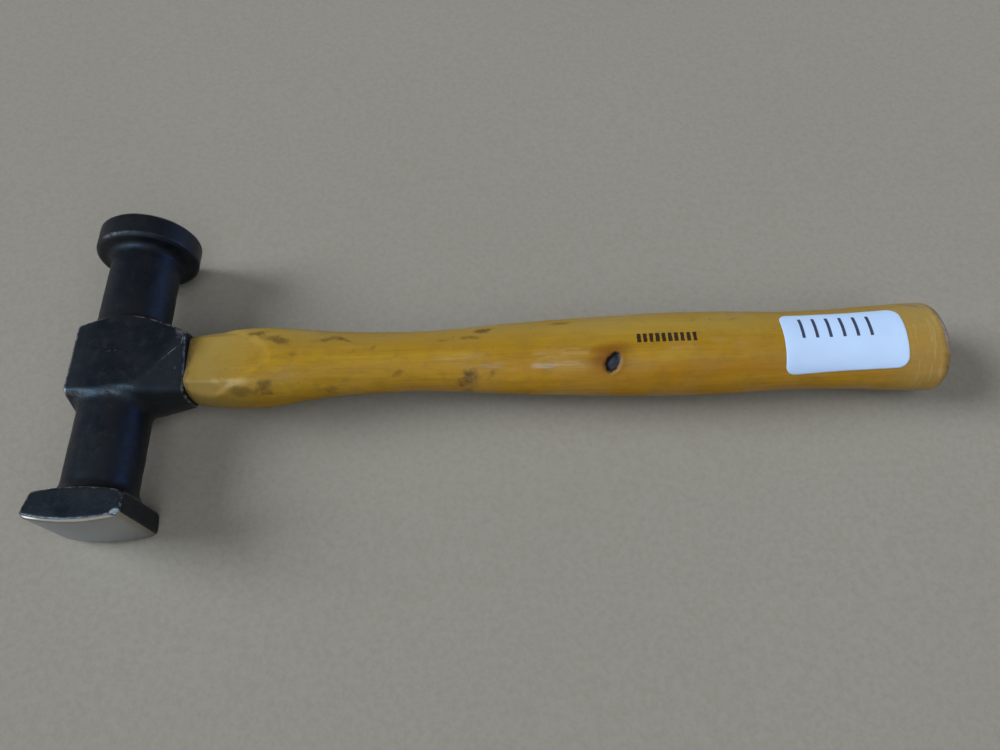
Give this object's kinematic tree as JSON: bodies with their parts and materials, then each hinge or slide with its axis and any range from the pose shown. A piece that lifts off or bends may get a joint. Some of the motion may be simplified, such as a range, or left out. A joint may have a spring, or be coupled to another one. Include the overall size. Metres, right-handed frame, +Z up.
{
  "type": "planishing hammer",
  "caption": "Double-faced smith's planishing hammer: a flat round face and a crowned square face on round necks, with a shaped wooden handle wedged in the eye.",
  "frame": {"origin": "middle of the base of the hammer's box, on the surface it lies on", "axes": "+X along the handle from the head to the butt, +Y across to the round face, +Z up; the hammer lies on its side, tilted a little"},
  "size_m": [0.342, 0.1272, 0.0402],
  "materials": {
    "forged_steel": "black oxidised forging scale, satin, worn bright along the edges",
    "hickory": "clear amber varnish over fine lengthwise grain",
    "wedge_wood": "bare hardwood end grain",
    "wedge_steel": "dull stamped steel",
    "paper": "smooth pale blue-white coated paper"
  },
  "bodies": {
    "root": {"hammer_head": "forged_steel", "handle": "hickory", "wood_wedge": "wedge_wood", "steel_wedge_1": "wedge_steel", "steel_wedge_2": "wedge_steel", "label": "paper"}
  },
  "joints": []
}
